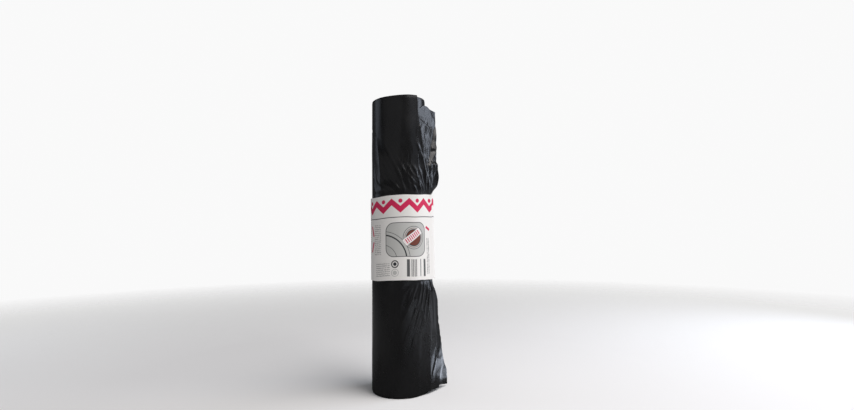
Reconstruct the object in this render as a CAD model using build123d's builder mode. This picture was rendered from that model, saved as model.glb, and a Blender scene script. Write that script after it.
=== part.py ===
from build123d import *
import os
from math import cos, radians, sin, tan

# A coreless roll of black bin bags, standing on its end and held shut by a paper band.
# The frame's origin is where the winding axis meets the bottom end. +Z runs up the axis,
# and -Y is the front. All sizes are in millimetres.

# The wound bags. The web is the bags' film, folded flat to the roll's length and wound
# round a mandrel, which leaves the eye.
roll_length = 340.0
roll_radius = 33.5
web_thickness = 0.5
eye_radius = 8.0

# The last web leaves the roll along a tangent at the right front. Its free end is a flat
# sheet, and each length here runs along it from where it leaves the roll.
lift_off_deg = -45.0
free_root_drop = 2.0
free_corner_drop = 9.0
free_corner_length = 25.0
bulge_length = 29.0
bulge_rise = 24.0
held_length = 23.0
held_margin = 5.0
flare_length = 34.0
flare_height = 54.0
foot_length = 45.0
foot_lift = 2.0

# The paper band. It draws the free end in, and is glued where it overlaps itself. It was
# wrapped a little askew, so it climbs to the right.
band_height = 95.0
band_centre = 176.5
band_thickness = 0.2
band_clearance = 0.15
band_slope_deg = 2.5
band_fold_radius = 5.0
overlap_length = 14.0
overlap_setback = 8.0

band_radius = roll_radius + web_thickness + band_clearance
band_low = band_centre - band_height / 2
band_high = band_centre + band_height / 2

lift_off = Plane.XY.rotated((0, 0, lift_off_deg))
outwards = Vector(cos(radians(lift_off_deg)), sin(radians(lift_off_deg)), 0)

# --- bag_roll: the wound bags, with the eye and the last web's free end ---
# One turn of the web is drawn as quarter arcs. Each is larger than the last by a quarter
# of the web's thickness, so the turn ends one thickness outside its start.
quarter_growth = web_thickness / 4
web_plane = Plane(origin=outwards * roll_radius, x_dir=lift_off.y_dir, z_dir=outwards)
free_end_outline = [
    (0, roll_length - free_root_drop),
    (free_corner_length, roll_length - free_corner_drop),
    (bulge_length, band_high + bulge_rise),
    (held_length, band_high + held_margin),
    (held_length, band_low - held_margin),
    (flare_length, flare_height),
    (foot_length, foot_lift),
    (0, foot_lift),
]

with BuildPart() as bag_roll:
    with BuildSketch(lift_off):
        with BuildLine():
            centre = Vector(0, 0)
            for quarter in range(4):
                radius = roll_radius + quarter * quarter_growth
                turn = CenterArc(centre, radius, 90 * quarter, 90)
                centre -= (turn @ 1 - centre).normalized() * quarter_growth
            Line((roll_radius, 0), (roll_radius + web_thickness, 0))
        make_face()
    extrude(amount=roll_length)
    with BuildSketch(web_plane):
        with BuildLine():
            Polyline(*free_end_outline, close=True)
        make_face()
    extrude(amount=web_thickness)
    Hole(radius=eye_radius)
bag_roll.part.label = "bag_roll"

# --- paper_band: one strip of paper round the roll's middle ---
# Its line is the hull of the roll and of a small fold over the free end's edge. It is
# drawn long and trimmed to two parallel planes.
slope = radians(band_slope_deg)
trim_allowance = 2 * band_radius * tan(slope)
band_up = Vector(-sin(slope), 0, cos(slope))
fold_centre = (band_radius - band_fold_radius, held_length)
overlap_centre = (
    band_radius + band_thickness,
    held_length - overlap_setback - overlap_length / 2,
)

with BuildPart() as paper_band:
    with BuildSketch(lift_off.offset(band_low - trim_allowance)):
        Circle(band_radius + band_thickness)
        with Locations(fold_centre):
            Circle(band_fold_radius + band_thickness)
        make_hull()
        offset(amount=-band_thickness, mode=Mode.SUBTRACT)
        with Locations(overlap_centre):
            Rectangle(2 * band_thickness, overlap_length)
    extrude(amount=band_height + 2 * trim_allowance)
    split(bisect_by=Plane(origin=(0, 0, band_high), z_dir=band_up), keep=Keep.BOTTOM)
    split(bisect_by=Plane(origin=(0, 0, band_low), z_dir=band_up), keep=Keep.TOP)
paper_band.part.label = "paper_band"

os.makedirs("parts", exist_ok=True)
export_step(bag_roll.part, "parts/bag_roll.step")
export_step(paper_band.part, "parts/paper_band.step")
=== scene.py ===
"""The looks of a coreless roll of black bin bags that stands on its end in a paper band."""

import logging
import math
from collections.abc import Callable, Sequence
from dataclasses import dataclass, field
from enum import Enum

import bpy
import numpy as np
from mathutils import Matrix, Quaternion, Vector
from mathutils.geometry import delaunay_2d_cdt


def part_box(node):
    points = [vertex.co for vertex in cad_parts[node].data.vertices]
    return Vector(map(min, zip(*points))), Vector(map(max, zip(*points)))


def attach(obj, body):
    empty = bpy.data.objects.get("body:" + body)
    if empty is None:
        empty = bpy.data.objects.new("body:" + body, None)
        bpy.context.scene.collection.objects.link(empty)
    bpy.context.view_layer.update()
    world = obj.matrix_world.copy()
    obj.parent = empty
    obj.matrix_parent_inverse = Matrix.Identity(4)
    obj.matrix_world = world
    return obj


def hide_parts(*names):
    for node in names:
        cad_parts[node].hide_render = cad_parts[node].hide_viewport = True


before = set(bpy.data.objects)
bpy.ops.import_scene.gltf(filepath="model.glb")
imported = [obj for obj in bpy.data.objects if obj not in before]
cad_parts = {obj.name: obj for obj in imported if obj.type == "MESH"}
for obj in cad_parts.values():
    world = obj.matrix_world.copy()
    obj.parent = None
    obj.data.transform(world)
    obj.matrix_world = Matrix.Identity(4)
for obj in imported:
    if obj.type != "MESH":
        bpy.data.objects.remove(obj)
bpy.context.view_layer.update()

logging.basicConfig(level=logging.INFO, format="%(message)s")
log = logging.getLogger("bin_bag_roll")

MM = 0.001
BAND_SLOPE_DEG = 2.5  # how far the paper band climbs to the right
UV_SPAN = 100.0  # millimetres of film or paper across one unit of a piece's UV map

Table = Sequence[tuple[float, float]]


class End(Enum):
    """The two ends of the roll, by the side that each faces along the axis."""

    BOTTOM = -1
    TOP = 1


class Ink(Enum):
    """The colours that the paper band is printed in."""

    CRIMSON = (0.60, 0.016, 0.085)
    GREY = (0.50, 0.50, 0.48)
    DARK = (0.035, 0.038, 0.042)
    UMBER = (0.17, 0.045, 0.030)
    WHITE = (0.84, 0.82, 0.80)


# --- Small tools for shapes ---


def ease(value: np.ndarray) -> np.ndarray:
    """Rises smoothly from 0 to 1 as value does."""
    held = np.clip(value, 0.0, 1.0)
    return held * held * (3.0 - 2.0 * held)


def along(place: np.ndarray, table: Table, blur: float = 3.0) -> np.ndarray:
    """Reads a value off a table and rounds its corners.

    Args:
        place: where to read, such as heights in millimetres.
        table: rows of (place, value), in rising order of place.
        blur: how far each side of a corner the rounding reaches.

    Returns:
        The value at each place.
    """
    marks = np.array(table)
    taps = (-1.0, -0.5, 0.0, 0.5, 1.0)
    return sum(np.interp(place + blur * tap, marks[:, 0], marks[:, 1]) for tap in taps) / len(taps)


def ripple(first: np.ndarray, second: np.ndarray, seed: int, count: int = 7) -> np.ndarray:
    """A gentle random wave over two coordinates, between about -1 and 1.

    Args:
        first: one coordinate, in wavelengths.
        second: the other coordinate, in wavelengths.
        seed: picks the wave.
        count: how many plain waves are added up.

    Returns:
        The wave's height at each point.
    """
    chance = np.random.default_rng(seed)
    total = np.zeros(np.broadcast(first, second).shape)
    for _ in range(count):
        turn, start = chance.uniform(0.0, 2.0 * math.pi, 2)
        scale = chance.uniform(0.6, 1.5)
        reach = 2.0 * math.pi * scale
        total += np.sin(reach * (first * math.cos(turn) + second * math.sin(turn)) + start) / scale
    return total / math.sqrt(count)


@dataclass(frozen=True)
class Fold:
    """A fold that is drawn out across the film.

    Attributes:
        line: the crest's (along, height) points, from where it fades out to where it is pulled.
        rise: how far the crest stands out, or sinks in where it is negative.
        width: how far the fold reaches to each side where it is pulled.
        spread: how many times wider it is where it fades out.
        lean: from -1 to 1, which side is the steep one.
    """

    line: tuple[tuple[float, float], ...]
    rise: float
    width: float
    spread: float = 2.0
    lean: float = 0.0

    def height(self, s: np.ndarray, z: np.ndarray) -> np.ndarray:
        """The fold's height at each point of the film.

        Args:
            s: each point's place along the film.
            z: each point's place up it.

        Returns:
            The height in millimetres.
        """
        marks = np.array(self.line, float)
        steps = np.linspace(0.0, 1.0, 48)
        knots = np.linspace(0.0, 1.0, len(marks))
        crest = np.stack([along(steps, list(zip(knots, marks[:, k])), 0.12) for k in (0, 1)], 1)
        tangent = np.gradient(crest, axis=0)
        pace = np.linalg.norm(tangent, axis=1)
        tangent /= pace[:, None]
        out = np.zeros(s.shape)
        reach = self.width * self.spread
        near = (s > crest[:, 0].min() - reach) & (s < crest[:, 0].max() + reach)
        near &= (z > crest[:, 1].min() - reach) & (z < crest[:, 1].max() + reach)
        points = np.stack([s[near], z[near]], 1)
        if not len(points):
            return out
        gaps = points[:, None, :] - crest[None]
        nearest = np.argmin((gaps**2).sum(2), axis=1)
        gap = gaps[np.arange(len(points)), nearest]
        way = tangent[nearest]
        side = gap[:, 0] * way[:, 1] - gap[:, 1] * way[:, 0]
        run = (nearest + (gap * way).sum(1) / pace[nearest]) / (len(steps) - 1)
        width = self.width * (self.spread + (1.0 - self.spread) * np.clip(run, 0.0, 1.0))
        width *= 1.0 + self.lean * np.sign(side)
        body = np.clip(1.0 - np.abs(side) / width, 0.0, 1.0) ** 1.7
        fade = ease(run / 0.55) * ease((1.06 - run) / 0.08)
        out[near] = self.rise * body * fade
        return out


@dataclass(frozen=True)
class Crease:
    """A line that the free end is bent along, so that it runs on in another direction.

    Attributes:
        place: how far along the web the line lies, at heights up the roll.
        turn: how many degrees the web bends there, at heights up the roll.
        width: how far along the web the bend is spread.
    """

    place: Table
    turn: Table
    width: float = 1.8

    def turn_at(self, s: np.ndarray, z: np.ndarray) -> np.ndarray:
        """How far the web has turned at each (along, height) point."""
        return along(z, self.turn, 2.5) * ease((s - along(z, self.place, 2.5)) / self.width + 0.5)


class CrumpleField:
    """Flat facets that meet at sharp creases, as in film that was crushed."""

    def __init__(self, seed: int, cell: tuple[float, float], low: tuple[float, float],
                 high: tuple[float, float], skew: float = 0.0) -> None:
        """Scatters the corners and joins them into facets.

        Args:
            seed: picks the corners' places and heights.
            cell: the corners' mean spacing along the film and up it.
            low: the least (along, height) that the facets cover.
            high: the most (along, height) that they cover.
            skew: how far the rows of corners climb for each millimetre along.
        """
        chance = np.random.default_rng(seed)
        self.skew = skew
        across = np.arange(low[0] - cell[0], high[0] + 2 * cell[0], cell[0])
        up = np.arange(low[1] - 3 * cell[1], high[1] + 3 * cell[1], cell[1])
        grid = np.array([(a, b) for a in across for b in up])
        grid += chance.uniform(-0.42, 0.42, grid.shape) * np.array(cell)
        found = delaunay_2d_cdt([Vector(p) for p in grid], [], [], 0, 1e-6)
        self.corners = np.array([tuple(p) for p in found[0]])
        self.facets = [face for face in found[2] if len(face) == 3]
        self.heights = chance.uniform(-1.0, 1.0, len(self.corners))

    def height(self, s: np.ndarray, z: np.ndarray) -> np.ndarray:
        """The facets' height at each point of the film.

        Args:
            s: each point's place along the film.
            z: each point's place up it.

        Returns:
            The height, from -1 to 1.
        """
        z = z - self.skew * s
        out = np.zeros(s.shape)
        for face in self.facets:
            a, b, c = self.corners[list(face)]
            corners = np.array([a, b, c])
            low, high = corners.min(0), corners.max(0)
            near = (s >= low[0]) & (s <= high[0]) & (z >= low[1]) & (z <= high[1])
            if not near.any():
                continue
            area = (b[0] - a[0]) * (c[1] - a[1]) - (b[1] - a[1]) * (c[0] - a[0])
            ps, pz = s[near], z[near]
            wb = ((ps - a[0]) * (c[1] - a[1]) - (pz - a[1]) * (c[0] - a[0])) / area
            wc = ((b[0] - a[0]) * (pz - a[1]) - (b[1] - a[1]) * (ps - a[0])) / area
            wa = 1.0 - wb - wc
            inside = (wa >= -1e-6) & (wb >= -1e-6) & (wc >= -1e-6)
            at = np.stack([wa, wb, wc]) * self.heights[list(face)][:, None]
            held = out[near]
            held[inside] = at.sum(0)[inside]
            out[near] = held
        return out


# --- Small tools for meshes ---


def work_on(piece: bpy.types.Object) -> None:
    """Selects one piece alone and makes it the active one.

    Args:
        piece: the piece.
    """
    bpy.ops.object.select_all(action="DESELECT")
    piece.select_set(True)
    bpy.context.view_layer.objects.active = piece


def new_grid(name: str, columns: int, rows: int) -> bpy.types.Object:
    """Adds a flat grid to be shaped.

    Args:
        name: the piece's name.
        columns: faces along X.
        rows: faces along Y.

    Returns:
        The grid, 1 m square, whose points run along X first.
    """
    bpy.ops.object.select_all(action="DESELECT")
    bpy.ops.mesh.primitive_grid_add(x_subdivisions=columns, y_subdivisions=rows, size=1.0)
    grid = bpy.context.object
    grid.name = name
    return grid


def place_points(piece: bpy.types.Object, points: np.ndarray) -> None:
    """Moves a mesh's points to places given in millimetres."""
    piece.data.vertices.foreach_set("co", (points * MM).astype(np.float32).ravel())
    piece.data.update()


def map_film(piece: bpy.types.Object, s: np.ndarray, z: np.ndarray) -> None:
    """Gives a mesh a UV map that runs with the sheet it is made of.

    Args:
        piece: the mesh.
        s: each point's place along the sheet, in millimetres.
        z: each point's place up the sheet, in millimetres.
    """
    layer = piece.data.uv_layers[0]
    corner = np.zeros(len(piece.data.loops), np.int32)
    piece.data.loops.foreach_get("vertex_index", corner)
    flat = np.stack([s.ravel()[corner], z.ravel()[corner]], 1) / UV_SPAN
    layer.data.foreach_set("uv", flat.astype(np.float32).ravel())


def thicken(piece: bpy.types.Object, thickness: float, offset: float) -> None:
    """Turns a sheet into a closed solid.

    Args:
        piece: the sheet.
        thickness: its thickness in millimetres.
        offset: -1 to grow against the normals, 1 to grow along them, 0 for both.
    """
    work_on(piece)
    solidify = piece.modifiers.new("thickness", "SOLIDIFY")
    solidify.thickness = thickness * MM
    solidify.offset = offset
    solidify.use_rim = True
    bpy.ops.object.modifier_apply(modifier=solidify.name)


def face_outwards(piece: bpy.types.Object) -> None:
    """Merges a closed mesh's doubles and turns its faces outwards.

    Args:
        piece: the closed mesh.
    """
    work_on(piece)
    bpy.ops.object.mode_set(mode="EDIT")
    bpy.ops.mesh.select_all(action="SELECT")
    bpy.ops.mesh.remove_doubles(threshold=0.002 * MM)
    bpy.ops.mesh.normals_make_consistent(inside=False)
    bpy.ops.object.mode_set(mode="OBJECT")


def smooth(piece: bpy.types.Object, limit_deg: float = 50.0) -> None:
    """Shades a piece smooth, apart from edges sharper than the limit."""
    work_on(piece)
    bpy.ops.object.shade_smooth_by_angle(angle=math.radians(limit_deg))


def seat(piece: bpy.types.Object, material: bpy.types.Material, node: str) -> None:
    """Dresses a finished piece and ties it to the frame.

    Args:
        piece: the finished piece.
        material: its material.
        node: the CAD node that it stands for.
    """
    piece.data.materials.clear()
    piece.data.materials.append(material)
    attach(piece, "root")
    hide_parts(node)
    log.info("%s: %d faces", piece.name, len(piece.data.polygons))


# --- Shader groups ---

Socket = bpy.types.NodeSocket


class Wiring:
    """Adds nodes to one tree, with short calls for sums."""

    def __init__(self, tree: bpy.types.NodeTree) -> None:
        """Keeps the tree that the nodes go into."""
        self.tree = tree

    def add(self, kind: str, **settings: object) -> bpy.types.Node:
        """Adds a node and gives it its settings.

        Args:
            kind: the node's type.
            settings: its properties and their values.

        Returns:
            The node.
        """
        node = self.tree.nodes.new(kind)
        for key, value in settings.items():
            setattr(node, key, value)
        return node

    def feed(self, target: Socket, source: "Socket | float | tuple") -> None:
        """Links a socket to its source, or gives it a plain value.

        Args:
            target: the input socket.
            source: the output socket or the value.
        """
        if isinstance(source, bpy.types.NodeSocket):
            self.tree.links.new(source, target)
        else:
            target.default_value = source

    def dial(self, node: bpy.types.Node, values: dict[str, object]) -> bpy.types.Node:
        """Feeds a node's inputs by name.

        Args:
            node: the node.
            values: a socket or a plain value for each input's name.

        Returns:
            The same node.
        """
        for label, source in values.items():
            self.feed(node.inputs[label], source)
        return node

    def math(self, operation: str, *values: "Socket | float") -> Socket:
        """Adds a Math node.

        Args:
            operation: what it does.
            values: a socket or a number for each of its inputs.

        Returns:
            Its result.
        """
        node = self.add("ShaderNodeMath", operation=operation)
        for target, value in zip(node.inputs, values):
            self.feed(target, value)
        return node.outputs[0]

    def noise(self, where: Socket, scale: float, detail: float = 2.0,
              roughness: float = 0.5) -> Socket:
        """Adds a Noise Texture and returns its value."""
        values = {"Vector": where, "Scale": scale, "Detail": detail, "Roughness": roughness}
        return self.dial(self.add("ShaderNodeTexNoise"), values).outputs["Fac"]

    def stretch(self, where: Socket, scale: tuple[float, float, float]) -> Socket:
        """Adds a Mapping node that only scales."""
        values = {"Vector": where, "Scale": scale}
        return self.dial(self.add("ShaderNodeMapping"), values).outputs["Vector"]

    def span(self, value: Socket, low: float, high: float,
             to: tuple[float, float] = (0.0, 1.0)) -> Socket:
        """Adds a Map Range node from low..high to a new range."""
        values = {"Value": value, "From Min": low, "From Max": high, "To Min": to[0], "To Max": to[1]}
        return self.dial(self.add("ShaderNodeMapRange"), values).outputs["Result"]

    def blend(self, share: Socket, first: "Socket | tuple", second: "Socket | tuple") -> Socket:
        """Adds a Mix node for colours and returns its result."""
        values = {"Factor": share, "A": first, "B": second}
        return self.dial(self.add("ShaderNodeMix", data_type="RGBA"), values).outputs["Result"]

    def emboss(self, height: Socket, strength: float, depth: float) -> Socket:
        """Adds a Bump node and returns its normal."""
        values = {"Height": height, "Strength": strength, "Distance": depth}
        return self.dial(self.add("ShaderNodeBump"), values).outputs["Normal"]


def new_material(name: str) -> tuple[bpy.types.Material, Wiring, bpy.types.Node]:
    """Makes a material with nodes.

    Args:
        name: the material's name.

    Returns:
        The material, its wiring and its shader.
    """
    material = bpy.data.materials.new(name)
    material.use_nodes = True
    return material, Wiring(material.node_tree), material.node_tree.nodes["Principled BSDF"]


def new_group(name: str, takes: dict[str, str], gives: dict[str, str]) -> tuple[Wiring, dict, dict]:
    """Makes an empty node group with its sockets.

    Args:
        name: the group's name.
        takes: input names and their socket types.
        gives: output names and their socket types.

    Returns:
        The group's wiring, its inputs by name and its outputs by name.
    """
    tree = bpy.data.node_groups.new(name, "ShaderNodeTree")
    for label, kind in takes.items():
        tree.interface.new_socket(label, in_out="INPUT", socket_type=kind)
    for label, kind in gives.items():
        tree.interface.new_socket(label, in_out="OUTPUT", socket_type=kind)
    source = tree.nodes.new("NodeGroupInput")
    sink = tree.nodes.new("NodeGroupOutput")
    inputs = {label: source.outputs[label] for label in takes}
    outputs = {label: sink.inputs[label] for label in gives}
    return Wiring(tree), inputs, outputs


FLOAT = "NodeSocketFloat"
VECTOR = "NodeSocketVector"


def box_group() -> bpy.types.NodeTree:
    """A printed rectangle with round corners, as a mask over the paper's own millimetres.

    Returns:
        The group.
    """
    takes = {"Across": FLOAT, "Up": FLOAT, "Centre X": FLOAT, "Centre Y": FLOAT,
             "Half Width": FLOAT, "Half Height": FLOAT, "Corner": FLOAT}
    wire, given, out = new_group("printed_box", takes, {"Mask": FLOAT})
    beyond = []
    axes = (("Across", "Centre X", "Half Width"), ("Up", "Centre Y", "Half Height"))
    for place, centre, half in axes:
        off = wire.math("ABSOLUTE", wire.math("SUBTRACT", given[place], given[centre]))
        inner = wire.math("SUBTRACT", given[half], given["Corner"])
        beyond.append(wire.math("MAXIMUM", wire.math("SUBTRACT", off, inner), 0.0))
    squares = [wire.math("MULTIPLY", value, value) for value in beyond]
    far = wire.math("SQRT", wire.math("ADD", *squares))
    wire.feed(out["Mask"], wire.span(wire.math("SUBTRACT", far, given["Corner"]), 0.12, -0.12))
    return wire.tree


def ring_group() -> bpy.types.NodeTree:
    """A printed disc or ring, as a mask over the paper's own millimetres.

    Returns:
        The group.
    """
    takes = {"Across": FLOAT, "Up": FLOAT, "Centre X": FLOAT, "Centre Y": FLOAT,
             "Radius": FLOAT, "Line": FLOAT}
    wire, given, out = new_group("printed_ring", takes, {"Disc": FLOAT, "Ring": FLOAT})
    offs = [wire.math("SUBTRACT", given["Across"], given["Centre X"]),
            wire.math("SUBTRACT", given["Up"], given["Centre Y"])]
    squares = [wire.math("MULTIPLY", value, value) for value in offs]
    edge = wire.math("SUBTRACT", wire.math("SQRT", wire.math("ADD", *squares)), given["Radius"])
    wire.feed(out["Disc"], wire.span(edge, 0.12, -0.12))
    rim = wire.math("SUBTRACT", wire.math("ABSOLUTE", edge), wire.math("MULTIPLY", given["Line"], 0.5))
    wire.feed(out["Ring"], wire.span(rim, 0.12, -0.12))
    return wire.tree


def film_group() -> bpy.types.NodeTree:
    """Blown film's surface: fine lines along the web and a faint orange peel.

    Returns:
        The group.
    """
    wire, given, out = new_group("film_surface", {"Web": VECTOR},
                                 {"Height": FLOAT, "Bloom": FLOAT})
    lines = wire.noise(wire.stretch(given["Web"], (3.0, 260.0, 1.0)), 1.0, 3.0, 0.6)
    peel = wire.noise(wire.stretch(given["Web"], (34.0, 22.0, 1.0)), 1.0, 3.0, 0.55)
    pull = wire.noise(wire.stretch(given["Web"], (11.0, 4.0, 1.0)), 1.0, 2.0, 0.5)
    total = wire.math("ADD", wire.math("MULTIPLY", lines, 0.22), wire.math("MULTIPLY", peel, 0.5))
    wire.feed(out["Height"], wire.math("ADD", total, pull))
    wire.feed(out["Bloom"], wire.noise(wire.stretch(given["Web"], (5.0, 3.0, 1.0)), 1.0, 4.0, 0.6))
    return wire.tree


# --- Finishes ---


@dataclass(frozen=True)
class FilmFinish:
    """Black polyethylene film with a soft gloss."""

    colour: tuple[float, float, float] = (0.0048, 0.0048, 0.0052)
    bloom_colour: tuple[float, float, float] = (0.0085, 0.0086, 0.0094)
    roughness: tuple[float, float] = (0.24, 0.33)
    specular: float = 0.42
    bump: float = 0.25
    depth: float = 0.35 * MM

    def material(self, name: str, surface: bpy.types.NodeTree, by_uv: bool) -> bpy.types.Material:
        """Makes the material.

        Args:
            name: the material's name.
            surface: the film_surface group.
            by_uv: whether the film's lines follow the piece's UV map.

        Returns:
            The material.
        """
        material, wire, shader = new_material(name)
        place = wire.add("ShaderNodeTexCoord").outputs["UV" if by_uv else "Object"]
        group = wire.add("ShaderNodeGroup", node_tree=surface)
        scale = 1.0 if by_uv else 1.0 / (UV_SPAN * MM)
        wire.feed(group.inputs["Web"], wire.stretch(place, (scale, scale, scale)))
        bloom = group.outputs["Bloom"]
        wire.dial(shader, {
            "Specular IOR Level": self.specular,
            "Normal": wire.emboss(group.outputs["Height"], self.bump, self.depth),
            "Base Color": wire.blend(wire.span(bloom, 0.35, 0.75), (*self.colour, 1.0),
                                     (*self.bloom_colour, 1.0)),
            "Roughness": wire.span(bloom, 0.3, 0.7, self.roughness),
        })
        return material


Point = tuple[float, float]


class Press:
    """Prints plain shapes on paper, at places given in millimetres across it and up it."""

    def __init__(self, wire: Wiring, across: Socket, up: Socket) -> None:
        """Readies the printed shapes' groups.

        Args:
            wire: the material's wiring.
            across: millimetres across the paper.
            up: millimetres up the paper.
        """
        self.wire = wire
        self.place = (across, up)
        self.box_tree = box_group()
        self.ring_tree = ring_group()
        self.layers: list[tuple[Socket, Ink]] = []

    def ink(self, mask: Socket, ink: Ink) -> None:
        """Adds a shape to the print, over those before it."""
        self.layers.append((mask, ink))

    def both(self, first: Socket, second: Socket) -> Socket:
        """Where two shapes overlap."""
        return self.wire.math("MULTIPLY", first, second)

    def either(self, first: Socket, second: Socket) -> Socket:
        """Where at least one of two shapes is."""
        return self.wire.math("MAXIMUM", first, second)

    def turned(self, centre: Point, degrees: float) -> tuple[Socket, Socket]:
        """Places counted from a centre, along and across a slanted line.

        Args:
            centre: the new (across, up) zero.
            degrees: how far the line climbs.

        Returns:
            The places along the line and away from it.
        """
        wire, angle = self.wire, math.radians(degrees)
        x = wire.math("SUBTRACT", self.place[0], centre[0])
        y = wire.math("SUBTRACT", self.place[1], centre[1])
        along_line = wire.math("ADD", wire.math("MULTIPLY", x, math.cos(angle)),
                               wire.math("MULTIPLY", y, math.sin(angle)))
        away = wire.math("SUBTRACT", wire.math("MULTIPLY", y, math.cos(angle)),
                         wire.math("MULTIPLY", x, math.sin(angle)))
        return along_line, away

    def shape(self, tree: bpy.types.NodeTree, output: str, place: tuple,
              values: Sequence[float]) -> Socket:
        """Adds one of the shapes' groups.

        Args:
            tree: the group.
            output: which of its outputs is wanted.
            place: the places across the paper and up it.
            values: the group's other inputs, in order.

        Returns:
            The shape's mask.
        """
        node = self.wire.add("ShaderNodeGroup", node_tree=tree)
        for target, value in zip(node.inputs, (*place, *values)):
            self.wire.feed(target, value)
        return node.outputs[output]

    def box(self, centre: Point, half: Point, corner: float = 0.1, slant: float = 0.0) -> Socket:
        """A rectangle with round corners, which may be slanted.

        Args:
            centre: its middle.
            half: half its width and height.
            corner: its corners' radius.
            slant: how many degrees it climbs.

        Returns:
            Its mask.
        """
        place = self.turned(centre, slant) if slant else self.place
        middle = (0.0, 0.0) if slant else centre
        return self.shape(self.box_tree, "Mask", place, (*middle, *half, corner))

    def disc(self, centre: Point, radius: float) -> Socket:
        """A filled circle."""
        return self.shape(self.ring_tree, "Disc", self.place, (*centre, radius, 0.0))

    def ring(self, centre: Point, radius: float, line: float) -> Socket:
        """A circle's outline."""
        return self.shape(self.ring_tree, "Ring", self.place, (*centre, radius, line))


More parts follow.
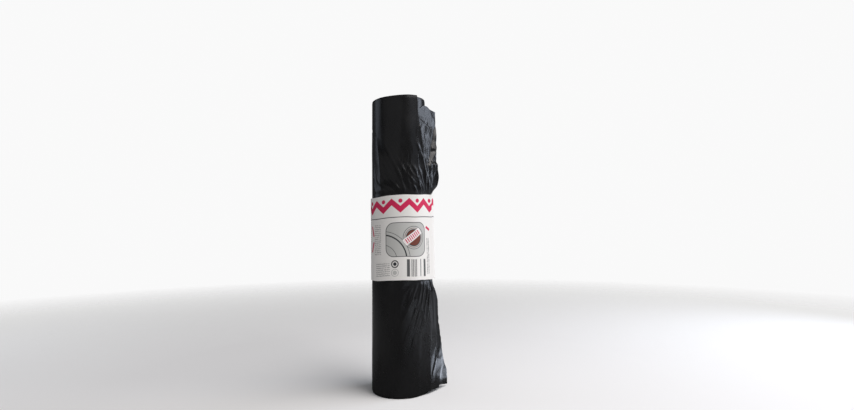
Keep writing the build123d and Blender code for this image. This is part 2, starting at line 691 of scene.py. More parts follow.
@dataclass(frozen=True)
class PrintedPaper:
    """Thin white paper with a generic print of bold shapes, bars and fine strokes.

    Every place is in millimetres: across from the front's middle, and up from the lower edge.
    """

    paper: tuple[float, float, float] = (0.82, 0.80, 0.77)
    roughness: float = 0.62
    specular: float = 0.3
    bump: float = 0.25
    depth: float = 0.05 * MM
    fibre_shade: float = 0.94
    zigzag_up: float = 83.0
    zigzag_swing: float = 4.4
    zigzag_pitch: float = 20.0
    zigzag_line: float = 7.6

    def material(self) -> bpy.types.Material:
        """Makes the material.

        Returns:
            The material.
        """
        material, wire, shader = new_material("printed_paper")
        uv = wire.add("ShaderNodeTexCoord").outputs["UV"]
        split = wire.add("ShaderNodeSeparateXYZ")
        wire.feed(split.inputs[0], uv)
        press = Press(wire, *[wire.math("MULTIPLY", split.outputs[axis], UV_SPAN) for axis in "XY"])
        self._zigzag(press)
        self._plate(press)
        self._small_print(press, uv)
        fibre = wire.noise(wire.stretch(uv, (90.0, 90.0, 1.0)), 1.0, 4.0, 0.6)
        shade = (*[value * self.fibre_shade for value in self.paper], 1.0)
        colour = wire.blend(wire.span(fibre, 0.3, 0.7), (*self.paper, 1.0), shade)
        for mask, ink in press.layers:
            colour = wire.blend(mask, colour, (*ink.value, 1.0))
        wire.dial(shader, {
            "Base Color": colour, "Roughness": self.roughness, "Specular IOR Level": self.specular,
            "Normal": wire.emboss(fibre, self.bump, self.depth),
        })
        return material

    def _zigzag(self, press: Press) -> None:
        """Prints a bold crimson zigzag round the upper edge, with a dot in each notch.

        Args:
            press: prints the shapes.
        """
        wire, (across, up) = press.wire, press.place
        phase = wire.math("DIVIDE", across, self.zigzag_pitch)
        swing = wire.math("PINGPONG", phase, 0.5)
        middle = wire.math("ADD", wire.math("MULTIPLY", swing, 4.0 * self.zigzag_swing),
                           self.zigzag_up - self.zigzag_swing)
        off = wire.math("ABSOLUTE", wire.math("SUBTRACT", up, middle))
        half = 0.5 * self.zigzag_line
        press.ink(wire.span(off, half + 0.15, half - 0.15), Ink.CRIMSON)
        nearest = wire.math("MULTIPLY", swing, self.zigzag_pitch)
        dot = press.shape(press.ring_tree, "Disc", (nearest, up), (0.0, self.zigzag_up + 5.2, 2.3, 0.0))
        press.ink(dot, Ink.CRIMSON)
        rule = wire.math("ABSOLUTE", wire.math("SUBTRACT", up, 70.0))
        press.ink(wire.span(rule, 0.55, 0.3), Ink.DARK)

    def _plate(self, press: Press) -> None:
        """Prints a grey plate that holds a brown disc, a striped lozenge and dark curves.

        Args:
            press: prints the shapes.
        """
        plate = press.box((7.0, 45.0), (23.5, 18.5), 9.0)
        press.ink(press.box((7.0, 45.0), (24.2, 19.2), 9.6), Ink.DARK)
        press.ink(plate, Ink.GREY)
        for radius, line in ((29.0, 1.5), (33.0, 0.5), (18.0, 0.5)):
            press.ink(press.both(plate, press.ring((-22.0, 22.0), radius, line)), Ink.DARK)
        centre = (15.5, 47.0)
        press.ink(press.ring(centre, 12.6, 0.5), Ink.DARK)
        press.ink(press.ring(centre, 10.6, 0.5), Ink.UMBER)
        press.ink(press.disc(centre, 9.0), Ink.UMBER)
        press.ink(press.ring(centre, 9.0, 0.9), Ink.DARK)
        lozenge = press.box((14.0, 48.0), (12.0, 3.9), 1.0, 36.0)
        press.ink(lozenge, Ink.WHITE)
        strokes = press.wire.math("PINGPONG", press.turned((14.0, 48.0), 36.0)[0], 1.25)
        dashes = press.wire.math("GREATER_THAN", strokes, 0.65)
        press.ink(press.both(dashes, press.box((14.0, 48.0), (10.8, 2.9), 0.4, 36.0)), Ink.CRIMSON)

    def _small_print(self, press: Press, uv: Socket) -> None:
        """Prints plain bars, two round marks and rows of fine strokes.

        Args:
            press: prints the shapes.
            uv: the paper's UV map.
        """
        wire, (across, up) = press.wire, press.place
        chance = wire.add("ShaderNodeTexWhiteNoise", noise_dimensions="1D")
        wire.feed(chance.inputs["W"], wire.math("FLOOR", wire.math("DIVIDE", across, 0.95)))
        bars = wire.math("GREATER_THAN", chance.outputs["Value"], 0.48)
        press.ink(press.both(bars, press.box((19.5, 13.5), (12.5, 9.5))), Ink.DARK)
        row = wire.math("PINGPONG", wire.math("DIVIDE", up, 2.2), 0.5)
        word = wire.math("GREATER_THAN", wire.noise(uv, 130.0, 0.0), 0.46)
        text = press.both(wire.math("GREATER_THAN", row, 0.28), word)
        fields = press.either(press.box((-22.0, 12.5), (9.5, 8.0)),
                              press.box((-29.0, 46.0), (5.5, 17.0)))
        fields = press.either(fields, press.box((-47.0, 45.0), (3.0, 34.0)))
        press.ink(press.both(text, wire.math("MULTIPLY", fields, 0.75)), Ink.DARK)
        column = wire.math("PINGPONG", wire.math("DIVIDE", across, 2.4), 0.5)
        lines = press.both(wire.math("GREATER_THAN", column, 0.27), word)
        press.ink(press.both(lines, press.box((36.0, 26.0), (2.8, 20.0))), Ink.DARK)
        press.ink(press.ring((-6.5, 18.0), 3.7, 1.2), Ink.DARK)
        press.ink(press.disc((-6.5, 18.0), 2.0), Ink.DARK)
        press.ink(press.ring((-6.5, 8.4), 3.9, 0.8), Ink.GREY)
        press.ink(press.disc((-6.5, 8.4), 2.4), Ink.GREY)
        press.ink(press.box((-38.0, 56.0), (1.2, 6.5), 1.1, 20.0), Ink.CRIMSON)
        press.ink(press.box((-38.0, 38.0), (1.2, 6.5), 1.1, -20.0), Ink.CRIMSON)
        press.ink(press.box((36.0, 57.0), (3.4, 1.3), 0.6, -32.0), Ink.CRIMSON)


# --- The roll ---


@dataclass(frozen=True)
class RollSizes:
    """Sizes that the roll's pieces share, in millimetres, read from the frame."""

    length: float
    radius: float
    band_low: float
    band_high: float
    eye: float = 8.0
    growth: float = 0.5
    leave_deg: float = 37.0
    narrow: float = 0.10
    lift: float = 2.2

    @classmethod
    def from_frame(cls) -> "RollSizes":
        """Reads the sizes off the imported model's boxes.

        Returns:
            The sizes.
        """
        low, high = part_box("bag_roll")
        band_low, band_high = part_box("paper_band")
        slope = 0.5 * (band_high.x - band_low.x) * math.tan(math.radians(BAND_SLOPE_DEG))
        return cls(length=high.z / MM, radius=-low.x / MM,
                   band_low=(band_low.z + slope) / MM, band_high=(band_high.z - slope) / MM)

    def tighten(self, points: np.ndarray, weight: np.ndarray) -> np.ndarray:
        """Draws the inner turns in at the upper right, and lifts their ends there.

        Args:
            points: places in millimetres.
            weight: how much each place follows, from 0 to 1.

        Returns:
            The moved places.
        """
        x, y, z = points[..., 0], points[..., 1], points[..., 2]
        top = ease((z - 0.86 * self.length) / (0.13 * self.length))
        right = np.maximum(x, 0.0) / self.radius
        out = points.copy()
        out[..., 0] = x - weight * top * self.narrow * np.maximum(x, 0.0)
        raised = ease(0.5 + 0.5 * x / self.radius) * (0.3 + 0.7 * np.minimum(right, 1.0))
        out[..., 2] = z + top * self.lift * raised
        return out


@dataclass
class WoundTurns:
    """The tight inner turns, whose edges show as a spiral at both ends."""

    sizes: RollSizes
    clearance: float = 0.75
    pitch: float = 1.7
    ring_step: float = 0.4
    segments: int = 240
    edge_depth: float = 1.1
    stagger: float = 0.9
    end_inset: float = 0.9
    seed: int = 11

    def build(self) -> bpy.types.Object:
        """Spins the section round the axis and shapes both ends.

        Returns:
            The closed mesh.
        """
        outer = self.sizes.radius - self.clearance
        rings = np.linspace(self.sizes.eye, outer, int((outer - self.sizes.eye) / self.ring_step))
        low, high = self.end_inset, self.sizes.length - self.end_inset
        wall = np.linspace(low, high, 14)[1:-1]
        profile = [(self.sizes.eye, z) for z in wall] + [(r, high) for r in rings]
        profile += [(outer, z) for z in wall[::-1]] + [(r, low) for r in rings[::-1]]
        piece = self._spin(profile)
        points = np.zeros(len(piece.data.vertices) * 3)
        piece.data.vertices.foreach_get("co", points)
        points = points.reshape(-1, 3) / MM
        place_points(piece, self._shape(points, low, high, outer))
        smooth(piece)
        return piece

    def _spin(self, profile: list[tuple[float, float]]) -> bpy.types.Object:
        """Spins a closed section into a ring-shaped mesh.

        Args:
            profile: the section's (radius, height) points.

        Returns:
            The mesh.
        """
        bpy.ops.object.select_all(action="DESELECT")
        bpy.ops.mesh.primitive_circle_add(vertices=len(profile), radius=1.0, fill_type="NOTHING")
        piece = bpy.context.object
        piece.name = "wound_turns"
        place_points(piece, np.array([(r, 0.0, z) for r, z in profile]))
        bpy.ops.object.mode_set(mode="EDIT")
        bpy.ops.mesh.select_all(action="SELECT")
        bpy.ops.mesh.spin(steps=self.segments, angle=2.0 * math.pi, center=(0, 0, 0), axis=(0, 0, 1))
        bpy.ops.object.mode_set(mode="OBJECT")
        face_outwards(piece)
        return piece

    def _shape(self, points: np.ndarray, low: float, high: float, outer: float) -> np.ndarray:
        """Cuts the turns' edges into the ends and lets them stand unevenly.

        Args:
            points: the spun places in millimetres.
            low: the bottom end's height.
            high: the top end's height.
            outer: the outermost radius.

        Returns:
            The shaped places.
        """
        radius = np.hypot(points[:, 0], points[:, 1])
        angle = np.arctan2(points[:, 1], points[:, 0])
        phase = (radius - self.sizes.eye) / self.pitch - angle / (2.0 * math.pi)
        turn = np.floor(phase)
        within = phase - turn
        groove = -self.edge_depth * np.abs(2.0 * within - 1.0) ** 5
        out = points.copy()
        for end in End:
            flat = high if end is End.TOP else low
            chance = np.random.default_rng(self.seed + end.value)
            steps = chance.uniform(-1.0, 1.0, 64)
            spiral = turn + (angle + math.pi) / (2.0 * math.pi)
            stand = np.interp(spiral % 60.0, np.arange(64), steps)
            inner = ease((outer - radius) / 3.0)
            here = np.abs(points[:, 2] - flat) < 0.01
            offset = groove + inner * self.stagger * stand - self.edge_depth * 0.2
            offset += 0.35 * ripple(points[:, 0] / 21.0, points[:, 1] / 21.0, self.seed + 5)
            offset[radius < self.sizes.eye + 0.05] = -0.6
            offset = np.minimum(offset, 0.8)
            out[here, 2] += (end.value * offset)[here]
        sway = 0.5 * ripple(angle / 2.5, points[:, 2] / 160.0, self.seed + 2)
        eye = 1.0 - ease((radius - self.sizes.eye) / 6.0)
        for axis in (0, 1):
            out[:, axis] *= 1.0 + eye * sway / np.maximum(radius, 1.0)
        return self.sizes.tighten(out, np.ones(len(out)))


@dataclass
class LooseTurn:
    """The last turn of the web and its free end, which the paper band draws in.

    Places along the web count in millimetres from where it leaves the roll.
    """

    sizes: RollSizes
    name: str = "loose_turn"
    thickness: float = 0.3
    back_columns: int = 52
    front_columns: int = 92
    free_columns: int = 62
    rows: int = 236
    seed: int = 23
    front: float = -64.0
    free_from: float = -20.0
    soft_deg: float = 3.0
    lip: float = 0.006
    top_corner: float = 1.5
    top_step: float = 14.3
    drop: float = 0.6
    leave: Table = ((0, 37), (117, 37), (126, 47.0), (228, 47.0), (236, 39), (259, 37), (340, 37))
    edge: Table = ((0, 50.9), (5, 50.9), (20, 48.8), (31, 44.5), (44, 38.8), (59, 35.6), (80, 32.4),
                   (106, 30.4), (118, 29.6), (125, 27.8), (132, 27.4), (220, 26.6), (228, 27.0),
                   (236, 30.0), (249, 32.9), (262, 29.3), (272, 30.3), (292, 34.3), (306, 36.2),
                   (325, 39.0), (340, 40.0))
    creases: tuple[Crease, ...] = field(default_factory=lambda: CREASES)
    folds: tuple[Fold, ...] = field(default_factory=lambda: UPPER_FOLDS + LOWER_FOLDS + SIDE_FOLDS)

    def build(self) -> bpy.types.Object:
        """Shapes a grid into the turn and gives it its thickness.

        Returns:
            The closed sheet.
        """
        s, v = self._lay_out()
        low, high = self._ends(s)
        z = low + v * (high - low)
        s = np.where(s > 0.0, s * self._free_length(z) / self._longest(), s)
        points = self._place(s, z)
        piece = new_grid(self.name, s.shape[1] - 1, s.shape[0] - 1)
        place_points(piece, points.reshape(-1, 3))
        map_film(piece, s, z)
        thicken(piece, self.thickness, -1.0)
        smooth(piece, 60.0)
        return piece

    def _longest(self) -> float:
        """The free end's greatest length."""
        return max(length for _, length in self.edge)

    def _free_length(self, z: np.ndarray) -> np.ndarray:
        """How far the web runs past the roll at each height."""
        tear = 0.25 * ripple(z / 9.0, np.zeros_like(z), self.seed + 1)
        return np.maximum(along(z, self.edge, 2.5), 2.0) + tear

    def _start(self) -> float:
        """Where the turn begins, a little over one turn before it leaves the roll."""
        return -math.radians(378.0) * self.sizes.radius

    def _lay_out(self) -> tuple[np.ndarray, np.ndarray]:
        """Spaces the grid's columns closely where the film is creased.

        Returns:
            Each point's place along the web, and its share of the height.
        """
        columns = np.concatenate([
            np.linspace(self._start(), self.front, self.back_columns, endpoint=False),
            np.linspace(self.front, 0.0, self.front_columns, endpoint=False),
            np.linspace(0.0, self._longest(), self.free_columns),
        ])
        lip, edge = self.lip, self.lip * 0.35
        middle = np.linspace(lip, 1.0 - lip, self.rows - 4)
        shares = np.concatenate([[0.0, edge], middle, [1.0 - edge, 1.0]])
        return np.meshgrid(columns, shares)

    def _ends(self, s: np.ndarray) -> tuple[np.ndarray, np.ndarray]:
        """The heights of the web's two long edges.

        Args:
            s: each point's place along the web.

        Returns:
            The lower and the upper edge's height at each place.
        """
        wave = 0.25 * ripple(s / 37.0, np.zeros_like(s), self.seed + 2)
        top = self.sizes.length - self.drop + wave + self.top_corner * ease((s + 34.0) / 30.0)
        top = top - self.top_step * ease((s + 0.4) / 1.6)
        top = top + 4.2 * ease((s - 4.0) / 14.0) - 2.6 * ease((s - 24.0) / 12.0)
        bottom = 0.35 + 0.2 * np.abs(wave) + 1.2 * ease((s + 9.0) / 8.0)
        bottom = bottom + 1.7 * ease((s + 0.5) / 1.5) + 2.3 * ease((s - 32.5) / 1.2)
        bottom = bottom - 2.6 * ease((s - 34.0) / 16.0)
        return bottom, top

    def _heading(self, s: np.ndarray, z: np.ndarray) -> np.ndarray:
        """Which way the web runs.

        Args:
            s: each point's place along the web.
            z: each point's height.

        Returns:
            Degrees from the left-to-right line towards the back.
        """
        radius = self.sizes.radius
        turned = self.sizes.leave_deg + np.degrees(s / radius)
        leave = along(z, self.leave, 3.0)
        soft = self.soft_deg
        blend = np.clip((leave - turned) / soft, -1.0, 1.0)
        heading = np.where(blend >= 1.0, turned, np.where(blend <= -1.0, leave,
                           leave - soft * (blend + 1.0) ** 2 / 4.0))
        for crease in self.creases:
            heading = heading + crease.turn_at(s, z)
        return heading

    def _place(self, s: np.ndarray, z: np.ndarray) -> np.ndarray:
        """Runs the web round the roll and out to its free end.

        Args:
            s: each point's place along the web.
            z: each point's height.

        Returns:
            Each point's place in millimetres.
        """
        radius = self.sizes.radius
        azimuth = np.radians(self.sizes.leave_deg) + s / radius
        spiral = radius - self.sizes.growth * np.clip(-s / (2.0 * math.pi * radius), 0.0, 1.2)
        heading = np.radians(self._heading(s, z))
        step = np.diff(s, axis=1)
        middle = 0.5 * (heading[:, 1:] + heading[:, :-1])
        join = int(np.searchsorted(s[0], self.free_from))
        x, y = spiral * np.sin(azimuth), -spiral * np.cos(azimuth)
        for coordinate, share in ((x, np.cos(middle)), (y, np.sin(middle))):
            run = np.cumsum(step * share, axis=1)
            run = run[:, join:] - run[:, join - 1:join]
            coordinate[:, join + 1:] = coordinate[:, join:join + 1] + run
        stand = self._relief(s, z)
        facing = np.where(s < s[0, join], azimuth, heading)
        points = np.stack([x + stand * np.sin(facing), y - stand * np.cos(facing), z], axis=-1)
        inner = 1.0 - ease((s + math.radians(150.0) * radius) / 12.0)
        return self.sizes.tighten(points, inner)

    def _relief(self, s: np.ndarray, z: np.ndarray) -> np.ndarray:
        """How far folds and creases stand off the web's plain course.

        Args:
            s: each point's place along the web.
            z: each point's height.

        Returns:
            The distance in millimetres.
        """
        sizes = self.sizes
        seen = ease((s + 175.0) / 12.0)
        pressed = ease((z - sizes.band_low + 5.5) / 4.0) * ease((sizes.band_high + 7.0 - z) / 4.0)
        free = ease((s - 1.0) / 4.0)
        total = sum(fold.height(s, z) for fold in self.folds)
        total = total + self._streaks(s, z)
        total = total + 0.10 * ripple(s / 26.0, z / 130.0, self.seed + 3) * (1.0 - free)
        total = total + 0.05 * ripple(s / 9.0, z / 60.0, self.seed + 4) * (1.0 - free)
        crushed = ((-6.0, 0.0), (52.0, 340.0))
        fine = CrumpleField(self.seed + 6, (5.6, 12.0), *crushed, 0.5)
        coarse = CrumpleField(self.seed + 7, (11.0, 19.0), *crushed, -0.4)
        upper = ease((z - 262.0) / 10.0) * (1.0 - 0.65 * ease((z - 309.0) / 4.0))
        upper *= ease((s - along(z, self.creases[UPPER_CREASE].place)) / 3.0)
        lower = 0.9 * ease((s - 24.0) / 4.0) * ease((50.0 - z) / 14.0)
        strip = 0.3 * ease((s - 17.0) / 3.0) * ease((120.0 - z) / 20.0)
        bulge = 0.8 * ease((s - 6.0) / 8.0) * ease((z - 232.0) / 6.0) * ease((266.0 - z) / 6.0)
        amount = np.maximum(np.maximum(upper, lower), np.maximum(strip, bulge))
        total = total + amount * (0.95 * fine.height(s, z) + 1.3 * coarse.height(s, z))
        curl = ease((2.2 - (z - 0.3)) / 2.2) + 0.5 * ease((z - sizes.length + 2.4) / 2.2)
        return seen * (1.0 - pressed) * total - 0.5 * curl * (1.0 - free)

    def _streaks(self, s: np.ndarray, z: np.ndarray) -> np.ndarray:
        """Fine tension lines that fan out from where the band draws the free end in.

        Args:
            s: each point's place along the web.
            z: each point's height.

        Returns:
            Their height in millimetres.
        """
        sizes = self.sizes
        total = np.zeros(s.shape)
        up = ease((z - sizes.band_high) / 4.0) * ease((300.0 + 0.35 * s - z) / 52.0)
        down = ease((sizes.band_low - z) / 4.0) * ease((z - 28.0) / 60.0)
        across_up = (1.0 + 0.2 * ease((s + 40.0) / 40.0)) * ease((s + 70.0) / 12.0)
        across_up *= ease((27.0 - s) / 5.0)
        across_down = (0.3 + 0.7 * ease((s + 30.0) / 36.0)) * ease((s + 52.0) / 20.0)
        across_down *= ease((18.0 - s) / 4.0)
        fans = ((38.0, 140.0, 1.0, up * across_up, 1.6), (24.0, 232.0, -1.0, down * across_down, 1.9))
        for number, (centre, level, side, weight, rise) in enumerate(fans):
            spread = np.arctan2(centre - s, side * (z - level)) * 110.0
            reach = np.hypot(centre - s, z - level)
            warp = 0.35 * ripple(s / 40.0, z / 60.0, self.seed + 30 + number)
            wave = ripple(spread / 16.0 + warp, reach / 150.0, self.seed + 32 + number)
            fine = ripple(spread / 7.0 + warp, reach / 110.0, self.seed + 34 + number)
            crest = np.clip(1.0 - np.abs(wave) / 0.9, 0.0, 1.0) ** 1.6
            small = np.clip(1.0 - np.abs(fine) / 0.9, 0.0, 1.0) ** 1.6
            patches = ripple(spread / 25.0, reach / 45.0, self.seed + 36 + number)
            patch = 0.35 + 0.65 * ease(0.5 + 0.6 * patches)
            total = total + rise * weight * patch * (0.7 * crest + 0.4 * small)
        return total


UPPER_CREASE = 3  # the crease that the crumpling of the upper free end starts from
CREASES = (
    Crease(((0, 17.0), (92, 17.4), (108, 19.0), (120, 21.0)),
           ((0, 15), (102, 14), (118, 8), (126, 0)), 1.3),
    Crease(((26, 28.0), (31, 28.5), (36, 29.0), (44, 29.8), (58, 30.5), (80, 29.9), (106, 27.5)),
           ((24, 0), (44, -22), (60, -22), (92, -16), (114, 0))),
    Crease(((26, 28.4), (31, 28.8), (36, 30.7), (44, 33.0), (58, 35.5), (80, 41.9)),
           ((24, 0), (44, 20), (58, 20), (87, 19))),
    Crease(((262, 22.0), (266, 18.5), (268, 12.0), (272, 9.5), (285, 7.6), (292, 5.8), (306, 4.0),
            (318, 1.5), (327, 0.3), (345, 0.2)), ((260, 0), (266, 17), (345, 17)), 1.5),
    Crease(((262, 17.0), (272, 20.9), (292, 26.9), (306, 31.0), (318, 36.0)),
           ((258, 0), (266, -20), (300, -20), (312, 0)), 2.0),
    Crease(((0, 24.5), (340, 24.0)), ((106, 0), (122, 50), (231, 50), (240, 0)), 8.0),
)
UPPER_FOLDS = (
    Fold(((-50.0, 274.0), (-41.6, 262.8), (-28.1, 242.3), (-22.5, 228.0)), 0.75, 2.4, 2.0, 0.35),
    Fold(((-43.0, 290.0), (-36.8, 277.8), (-24.1, 253.8), (-15.6, 228.0)), 0.95, 2.4, 1.9, 0.35),
    Fold(((-32.8, 284.2), (-25.1, 267.1), (-14.8, 250.2), (-8.0, 226.9)), 0.85, 2.2, 2.0, 0.35),
    Fold(((-22.0, 272.0), (-12.9, 257.8), (-7.6, 241.0), (-3.0, 226.9)), 1.2, 2.7, 1.7, -0.35),
    Fold(((-14.8, 269.7), (-4.2, 253.1), (1.5, 237.0), (4.0, 226.9)), 1.25, 2.5, 1.6, -0.35),
    Fold(((-4.0, 262.0), (4.0, 249.0), (8.5, 237.0), (10.0, 226.9)), 0.9, 1.8, 1.6, -0.2),
    Fold(((-5.5, 302.8), (-1.5, 285.8), (4.6, 273.4), (10.6, 257.5), (12.2, 226.9)),
         1.3, 2.8, 1.4, 0.2),
    Fold(((-3.0, 246.2), (5.0, 237.0), (9.0, 227.9)), 0.6, 1.4, 1.5, 0.0),
    Fold(((4.0, 261.6), (15.0, 247.2), (17.5, 227.9)), 1.0, 2.2, 1.6, 0.0),
    Fold(((22.0, 259.5), (20.0, 243.2), (19.0, 227.9)), 0.9, 2.0, 1.8, 0.0),
    Fold(((34.0, 304.5), (18.0, 310.5), (9.0, 314.0), (2.5, 316.0)), -1.5, 1.7, 1.2, 0.3),
    Fold(((6.0, 262.0), (8.0, 276.0), (5.0, 292.0), (3.0, 308.0)), 1.1, 1.8, 1.5, -0.4),
)
LOWER_FOLDS = (
    Fold(((-7.5, 27.7), (-9.5, 57.1), (-6.2, 76.5), (0.4, 92.5), (5.0, 110.2), (11.6, 129.4)),
         0.8, 2.4, 1.8, 0.3),
    Fold(((-6.0, 38.1), (-1.5, 66.0), (5.0, 80.3), (9.0, 99.8), (12.3, 114.7), (14.4, 129.4)),
         0.9, 1.9, 1.8, 0.3),
    Fold(((8.0, 69.3), (12.5, 88.9), (15.4, 108.6), (16.6, 129.4)), 0.8, 1.8, 1.4, 0.2),
    Fold(((-24.0, 56.0), (-21.5, 82.6), (-9.0, 108.4), (-1.7, 129.4)), 0.75, 2.5, 2.0, 0.35),
    Fold(((-23.2, 43.7), (-16.8, 66.9), (-6.1, 92.4), (1.0, 112.2), (4.0, 129.4)),
         0.75, 2.3, 1.9, 0.35),
    Fold(((-16.8, 31.2), (-11.8, 50.9), (-3.2, 74.7), (5.7, 96.4)), 0.7, 2.3, 1.8, 0.35),
    Fold(((27.0, 57.6), (24.0, 88.9), (20.0, 129.4)), 0.6, 2.0, 1.6, -0.2),
)
SIDE_FOLDS = (
    Fold(((-56.0, 312.0), (-53.0, 288.0), (-46.5, 262.0), (-44.5, 240.0), (-44.0, 222.0)),
         1.2, 8.0, 1.1, 0.35),
    Fold(((28.8, 49.0), (27.0, 38.0), (24.0, 30.0), (20.0, 20.0)), 1.3, 1.9, 1.3, 0.0),
    Fold(((-45.0, 290.0), (-54.0, 294.5), (-66.0, 301.0), (-84.0, 309.0)), -0.9, 1.7, 1.5, 0.4),
    Fold(((-72.0, 262.0), (-76.0, 285.0), (-78.0, 303.0)), 0.35, 2.6, 2.0, 0.2),
)


Course = Callable[[np.ndarray], tuple[np.ndarray, np.ndarray]]


@dataclass
class PaperBand:
    """The printed paper band, one strip glued where its outer end laps over its inner end.

    Places across the strip count in millimetres from the front's middle, along its course.
    """

    sizes: RollSizes
    paper: float = 0.2
    nose: tuple[float, float] = (33.7, -6.6)
    nose_radius: float = 5.4
    lap: float = 14.0
    seam_x: float = 36.3
    low_edge: Table = ((-34, 127.8), (-20, 129.0), (0, 129.7), (20, 129.6), (40, 128.9))
    high_edge: Table = ((-34, 222.6), (-20, 224.3), (0, 225.5), (20, 226.3), (40, 226.9))
    lean: float = -0.018
    columns: int = 300
    rows: int = 84
    stand_off: float = 0.35
    tip: float = 2.3
    seed: int = 41

    def build(self) -> bpy.types.Object:
        """Shapes a grid into the strip and gives it its thickness.

        Returns:
            The closed strip.
        """
        course, length = self._course()
        seam = self._seam(course, length)
        start = seam - length - self.lap
        t = np.concatenate([np.linspace(start, seam - 4.0, self.columns - 12, endpoint=False),
                            np.linspace(seam - 4.0, seam, 13)])
        v = np.linspace(0.0, 1.0, self.rows + 1)
        t, v = np.meshgrid(t, v)
        flat, facing = course(t)
        outer = ease((t - (seam - self.lap - 6.0)) / 6.0)
        height = self.sizes.band_high - self.sizes.band_low
        up = v * height
        place = np.where(t < -0.5 * length, t + length, t)
        calm = ease(np.abs(t + 0.5 * length) / 25.0)
        wave = 0.16 * ripple(place / 47.0, up / 80.0, self.seed)
        wave = calm * (wave + 0.05 * ripple(place / 13.0, up / 30.0, self.seed + 1))
        stand = self.stand_off + wave + outer * (self.paper + 0.10)
        stand = stand + 0.9 * np.exp(-((t + 52.0) / 24.0) ** 2) * (0.3 + 0.7 * v)
        loose = ease((t - seam + 5.0) / 5.0)
        stand = stand + 0.55 * loose * (0.25 + 0.75 * ease((up - height + 22.0) / 22.0))
        x = flat[..., 0] + stand * facing[..., 0]
        y = flat[..., 1] + stand * facing[..., 1]
        x = x + self.lean * (up - 0.5 * height) * ease((x - 18.0) / 16.0)
        low, high = along(x, self.low_edge, 6.0), along(x, self.high_edge, 6.0)
        z = low + v * (high - low) - 0.45 * outer * (1.0 - v) + 0.5 * (1.0 - ease((t - start) / 60.0))
        z = z + 0.18 * ripple(t / 30.0, np.zeros_like(t), self.seed + 3)
        z = z + self.tip * ease((t - seam + 2.0) / 2.0) ** 2 * ease((v - 0.93) / 0.07)
        z = z + 0.9 * ease((t - seam + 1.4) / 1.4) * ease((0.05 - v) / 0.05)
        piece = new_grid("printed_band", t.shape[1] - 1, t.shape[0] - 1)
        place_points(piece, np.stack([x, y, z], -1).reshape(-1, 3))
        map_film(piece, t, up)
        thicken(piece, self.paper, 1.0)
        smooth(piece, 40.0)
        return piece

    def _course(self) -> tuple[Course, float]:
        """The band's line round the roll and over the free end.

        Returns:
            A function from a place along the line to its point and outward direction, and the
            line's length.
        """
        radius, small = self.sizes.radius, self.nose_radius
        reach = math.hypot(*self.nose)
        middle = math.atan2(self.nose[1], self.nose[0])
        spread = math.acos((radius - small) / reach)
        front, back = middle - spread, middle + spread
        run = math.sqrt(reach**2 - (radius - small) ** 2)
        lengths = [(front + 0.5 * math.pi) * radius, run, (back - front) * small, run]
        round_back = (1.5 * math.pi - back) * radius
        total = sum(lengths) + round_back

        def course(t: np.ndarray) -> tuple[np.ndarray, np.ndarray]:
            """The line at each place along it.

            Args:
                t: the places.

            Returns:
                The points and the outward directions.
            """
            place = np.mod(t, total)
            ends = np.cumsum(lengths)
            parts = [place < end for end in ends]
            facing = np.select(parts, [-0.5 * math.pi + place / radius, front + 0.0 * place,
                                       front + (place - ends[1]) / small, back + 0.0 * place],
                               back + (place - ends[3]) / radius)
            out = np.stack([np.cos(facing), np.sin(facing)], -1)
            tangent = np.stack([-np.sin(facing), np.cos(facing)], -1)
            nose = np.array(self.nose)
            on_roll = radius * out
            on_front = on_roll + tangent * (place - ends[0])[..., None]
            on_nose = nose + small * out
            on_back = nose + small * out + tangent * (place - ends[2])[..., None]
            where = [part[..., None] for part in parts]
            return np.select(where, [on_roll, on_front, on_nose, on_back], on_roll), out

        return course, total

    def _seam(self, course: Course, length: float) -> float:
        """Where along the line the strip's outer end lies.

        Args:
            course: gives the line's point and outward direction at each place along it.
            length: the line's length.

        Returns:
            The outer end's place along the line, in millimetres.
        """
        places = np.linspace(0.0, 0.4 * length, 400)
        x = course(places)[0][:, 0]
        return float(places[int(np.argmax(x > self.seam_x))])


# --- The studio ---


@dataclass(frozen=True)
class Panel:
    """A soft light panel, which only the light it sheds shows.

    Attributes:
        name: the lamp's name.
        place: where its middle is, in metres.
        target: the point that it faces.
        size: its width and height.
        power: its power in watts.
        turn_deg: how far it is turned about its own facing.
        colour: the light's colour.
    """

    name: str
    place: tuple[float, float, float]
    target: tuple[float, float, float]
    size: tuple[float, float]
    power: float
    turn_deg: float = 0.0
    colour: tuple[float, float, float] = (0.83, 0.91, 1.06)

    def build(self) -> None:
        """Hangs the panel."""
        bpy.ops.object.light_add(type="AREA", location=self.place)
        lamp = bpy.context.object
        lamp.name = self.name
        facing = Vector(self.target) - Vector(self.place)
        turn = Quaternion((0.0, 0.0, 1.0), math.radians(self.turn_deg))
        lamp.rotation_euler = (facing.to_track_quat("-Z", "Y") @ turn).to_euler()
        lamp.data.shape = "RECTANGLE"
        lamp.data.size, lamp.data.size_y = self.size
        lamp.data.energy = self.power
        lamp.data.color = self.colour
        lamp.visible_camera = False


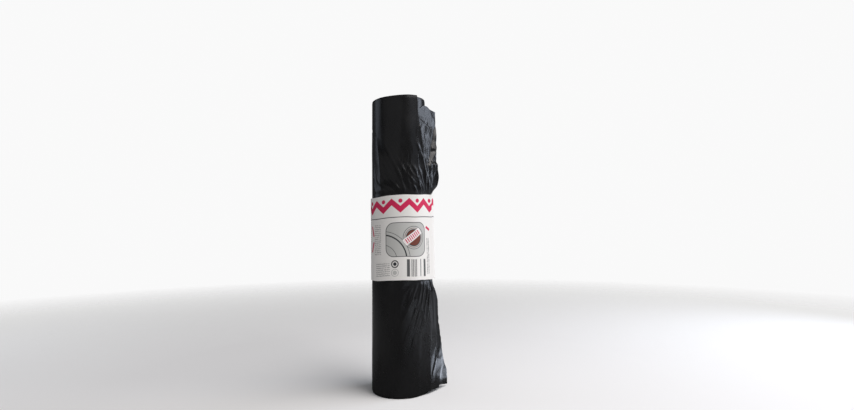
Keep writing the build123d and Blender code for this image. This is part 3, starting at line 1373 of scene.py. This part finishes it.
@dataclass
class Studio:
    """The pale floor, the soft light and the camera."""

    camera_back: float = 0.574
    camera_height: float = 0.178
    lens: float = 20.23
    pitch_deg: float = 3.78
    yaw_deg: float = 3.15
    roll_deg: float = 0.45
    floor_colour: tuple[float, float, float] = (0.84, 0.84, 0.84)
    floor_radius: float = 6.0
    floor_roughness: float = 0.85
    floor_specular: float = 0.2
    # Painted reflection: the floor's grey as glossy rays see it, rising from the first value to the
    # second across each span of X.
    right_painted_reflection: tuple[float, float] = (0.13, 0.5)
    right_span: tuple[float, float] = (0.16, 0.60)
    left_painted_reflection: tuple[float, float] = (0.2, 0.0)
    left_span: tuple[float, float] = (-0.35, -0.08)
    fade: tuple[float, float] = (0.35, 1.5)
    sky_colour: tuple[float, float, float] = (0.95, 0.95, 0.95)
    fill: float = 0.165
    gloss_fill: float = 0.068
    panels: tuple[Panel, ...] = (
        Panel("right_panel", (0.894, 0.223, 0.43), (0.0, 0.0, 0.17), (0.34, 0.56), 2.35),
        Panel("right_card", (0.470, 0.171, 0.004), (0.470, 0.171, 1.0), (0.50, 0.12), 0.17, 20.0),
        Panel("near_card", (0.112, 0.043, 0.003), (0.112, 0.043, 1.0), (0.13, 0.08), 0.13, 21.0),
        Panel("front_card", (0.355, -0.277, 0.003), (0.355, -0.277, 1.0), (0.60, 0.16), 0.42, -38.0),
        Panel("left_panel", (-0.87, 0.22, 0.44), (0.0, 0.0, 0.17), (0.42, 0.52), 0.5),
        Panel("front_panel", (0.62, -0.48, 0.50), (0.0, 0.0, 0.2), (0.32, 0.50), 0.19),
        Panel("front_left_panel", (-0.42, -0.71, 0.50), (0.0, 0.0, 0.2), (1.30, 0.62), 0.56,
              colour=(0.95, 0.94, 0.97)),
        Panel("top_panel", (0.80, -0.50, 1.55), (0.0, 0.0, 0.15), (1.3, 1.3), 29.0,
              colour=(1.0, 0.965, 0.95)),
    )

    def build(self) -> None:
        """Makes the floor, the world, the panels and the camera."""
        self._floor()
        self._world()
        for panel in self.panels:
            panel.build()
        self._camera()
        bpy.context.scene.view_settings.view_transform = "Standard"

    def _floor(self) -> None:
        """Lays a wide round floor under the roll: pale to the camera, with a painted dark reflection
        for glossy rays.
        """
        bpy.ops.object.select_all(action="DESELECT")
        bpy.ops.mesh.primitive_circle_add(vertices=96, radius=self.floor_radius, fill_type="NGON")
        floor = bpy.context.object
        floor.name = "pale_floor"
        material, wire, shader = new_material("pale_floor")
        place = wire.add("ShaderNodeTexCoord").outputs["Object"]
        split = wire.add("ShaderNodeSeparateXYZ")
        wire.feed(split.inputs[0], place)
        # Painted reflection: glossy rays see the floor dark grey near the roll and lighter towards
        # either side, while the camera sees it pale.
        painted_reflection_colour = wire.add("ShaderNodeCombineColor")
        level = wire.math("ADD", wire.span(split.outputs["X"], *self.right_span, self.right_painted_reflection),
                          wire.span(split.outputs["X"], *self.left_span, self.left_painted_reflection))
        for channel in painted_reflection_colour.inputs:
            wire.feed(channel, level)
        glossy = wire.add("ShaderNodeLightPath").outputs["Is Glossy Ray"]
        away = wire.add("ShaderNodeVectorMath", operation="LENGTH")
        wire.feed(away.inputs[0], place)
        wire.dial(shader, {
            "Base Color": wire.blend(glossy, (*self.floor_colour, 1.0), painted_reflection_colour.outputs[0]),
            "Alpha": wire.span(away.outputs["Value"], self.fade[1], self.fade[0]),
            "Roughness": self.floor_roughness, "Specular IOR Level": self.floor_specular,
        })
        floor.data.materials.append(material)

    def _world(self) -> None:
        """Gives the studio its dim fill and a pale background."""
        world = bpy.data.worlds.new("studio")
        bpy.context.scene.world = world
        world.use_nodes = True
        wire = Wiring(world.node_tree)
        shown = world.node_tree.nodes["Background"]
        wire.dial(shown, {"Color": (*self.sky_colour, 1.0), "Strength": 1.0})
        path = wire.add("ShaderNodeLightPath").outputs
        seen = shown.outputs[0]
        levels = (("Is Diffuse Ray", self.fill), ("Is Glossy Ray", self.gloss_fill))
        for label, strength in levels:
            fill = wire.add("ShaderNodeBackground")
            wire.dial(fill, {"Color": (*self.sky_colour, 1.0), "Strength": strength})
            mix = wire.add("ShaderNodeMixShader")
            wire.feed(mix.inputs[0], path[label])
            wire.feed(mix.inputs[1], seen)
            wire.feed(mix.inputs[2], fill.outputs[0])
            seen = mix.outputs[0]
        wire.feed(world.node_tree.nodes["World Output"].inputs["Surface"], seen)

    def _camera(self) -> None:
        """Sets the camera up in front of the roll, about level with its middle."""
        bpy.ops.object.camera_add(location=(0.0, -self.camera_back, self.camera_height))
        camera = bpy.context.object
        camera.name = "front_camera"
        camera.data.lens = self.lens
        camera.data.sensor_width = 36.0
        camera.rotation_euler = (math.radians(90.0 + self.pitch_deg), math.radians(self.roll_deg),
                                 -math.radians(self.yaw_deg))
        bpy.context.scene.camera = camera


def main() -> None:
    """Builds the studio, then the film, then the paper band."""
    Studio().build()
    sizes = RollSizes.from_frame()
    log.info("roll %.1f mm long, %.1f mm in radius", sizes.length, sizes.radius)
    surface = film_group()
    film = FilmFinish()
    seat(WoundTurns(sizes).build(), film.material("wound_film", surface, False),
         "bag_roll")
    seat(LooseTurn(sizes).build(), film.material("loose_film", surface, True),
         "bag_roll")
    seat(PaperBand(sizes).build(), PrintedPaper().material(), "paper_band")


if __name__ == "__main__":
    main()
